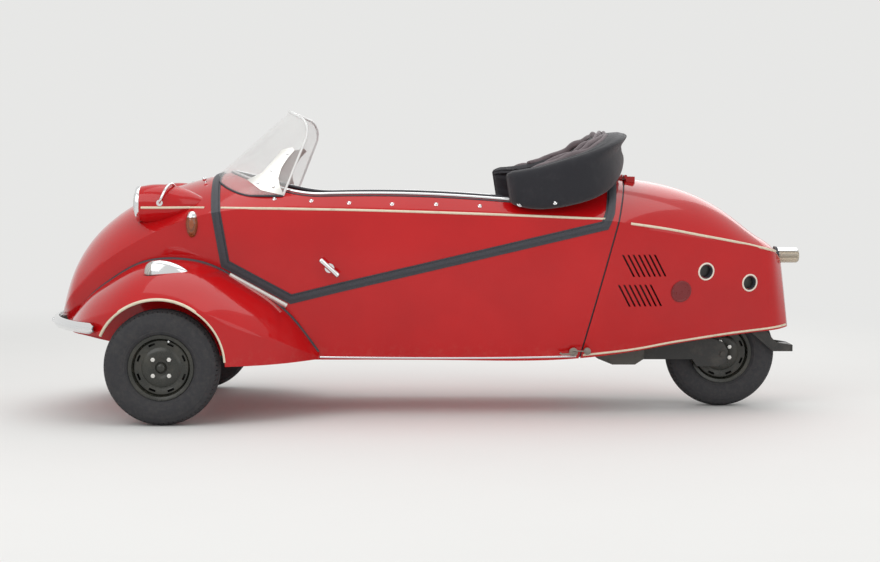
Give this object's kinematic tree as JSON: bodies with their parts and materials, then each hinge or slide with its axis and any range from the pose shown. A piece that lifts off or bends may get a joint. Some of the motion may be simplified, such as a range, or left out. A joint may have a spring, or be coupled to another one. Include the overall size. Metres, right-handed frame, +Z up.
{
  "type": "three wheeled microcar",
  "caption": "Open tandem microcar on three wheels, with a side-hinged canopy frame, lifting tail cover, steered front wheels and a folded soft top.",
  "frame": {"origin": "on the ground, below the middle of the car's length and width", "axes": "+Z up, +X towards the tail, so the nose points along -X and the car's left side is -Y"},
  "size_m": [2.816, 1.219, 1.1129],
  "materials": {
    "red_paint": "glossy red enamel",
    "black_rubber": "dull black rubber",
    "clear_glass": "clear sheet",
    "pale_metal": "pale brushed plate",
    "black_fabric": "black coated cloth",
    "lamp_glass": "clear ribbed lamp glass",
    "amber_lens": "amber lens",
    "red_lens": "dull dark red lens",
    "chrome_trim": "polished chrome",
    "dark_metal": "satin black paint",
    "gauge_black": "black dial",
    "seat_leather": "dark red leathercloth",
    "tyre_rubber": "black tyre rubber",
    "wheel_paint": "dark olive black paint",
    "engine_alloy": "dull cast alloy"
  },
  "bodies": {
    "chassis": {"tub": "red_paint", "fender_left": "red_paint", "fender_right": "red_paint", "headlamp_pods": "red_paint", "headlamp_lenses": "lamp_glass", "side_lamps": "amber_lens", "fender_lamps": "chrome_trim", "front_bumper": "chrome_trim", "canopy_hinge_fixed": "dark_metal", "tail_hinge_fixed": "dark_metal", "tail_toggles": "dark_metal", "dashboard": "red_paint", "gauge": "gauge_black", "steering_column": "dark_metal", "front_seat_cushion": "seat_leather", "front_seat_back": "seat_leather", "rear_seat_cushion": "seat_leather", "rear_seat_back": "seat_leather", "seat_frames": "dark_metal", "front_axle": "dark_metal", "kingpin_forks": "dark_metal", "engine": "engine_alloy", "swing_arm": "dark_metal", "rear_axle": "dark_metal", "rear_rails": "dark_metal", "rear_bracket": "dark_metal", "silencer": "dark_metal"},
    "canopy": {"canopy_frame": "red_paint", "canopy_seal": "black_rubber", "windscreen": "clear_glass", "screen_brackets": "pale_metal", "folded_hood": "black_fabric", "canopy_handle": "chrome_trim", "canopy_hinge_moving": "dark_metal"},
    "tail": {"tail_cover": "red_paint", "tail_hinge_moving": "dark_metal", "tail_lamp": "lamp_glass", "port_rings": "chrome_trim", "marker_discs": "red_lens"},
    "bar": {"handlebar": "dark_metal"},
    "left_knuckle": {"knuckle_left": "dark_metal"},
    "right_knuckle": {"knuckle_right": "dark_metal"},
    "front_left": {"front_left_tyre": "tyre_rubber", "front_left_wheel": "wheel_paint"},
    "front_right": {"front_right_tyre": "tyre_rubber", "front_right_wheel": "wheel_paint"},
    "rear": {"rear_tyre": "tyre_rubber", "rear_wheel": "wheel_paint"}
  },
  "joints": [
    {"name": "canopy_hinge", "type": "hinge", "parent": "chassis", "child": "canopy", "pos_m": [0, 0.384, 0.716], "axis": [-1, 0, 0], "range_deg": [0, 75]},
    {"name": "tail_cover_hinge", "type": "hinge", "parent": "chassis", "child": "tail", "pos_m": [0.72878, 0, 0.868], "axis": [0, -1, 0], "range_deg": [0, 55]},
    {"name": "steering_bar", "type": "hinge", "parent": "chassis", "child": "bar", "pos_m": [-0.56, 0, 0.64], "axis": [0.7071, 0, 0.7071], "range_deg": [-35, 35]},
    {"name": "steer_left", "type": "hinge", "parent": "chassis", "child": "left_knuckle", "pos_m": [-0.932, -0.503, 0.205], "axis": [0, 0, 1], "range_deg": [-28, 28]},
    {"name": "steer_right", "type": "hinge", "parent": "chassis", "child": "right_knuckle", "pos_m": [-0.932, 0.503, 0.205], "axis": [0, 0, 1], "range_deg": [-28, 28]},
    {"name": "front_left_spin", "type": "hinge", "parent": "left_knuckle", "child": "front_left", "pos_m": [-0.932, -0.54, 0.205], "axis": [0, 1, 0], "continuous": true},
    {"name": "front_right_spin", "type": "hinge", "parent": "right_knuckle", "child": "front_right", "pos_m": [-0.932, 0.54, 0.205], "axis": [0, 1, 0], "continuous": true},
    {"name": "rear_spin", "type": "hinge", "parent": "chassis", "child": "rear", "pos_m": [1.098, 0, 0.205], "axis": [0, 1, 0], "continuous": true}
  ],
  "couplings": [
    {"joint": "steer_left", "follows": "steering_bar", "ratio": 0.8},
    {"joint": "steer_right", "follows": "steering_bar", "ratio": 0.8}
  ]
}
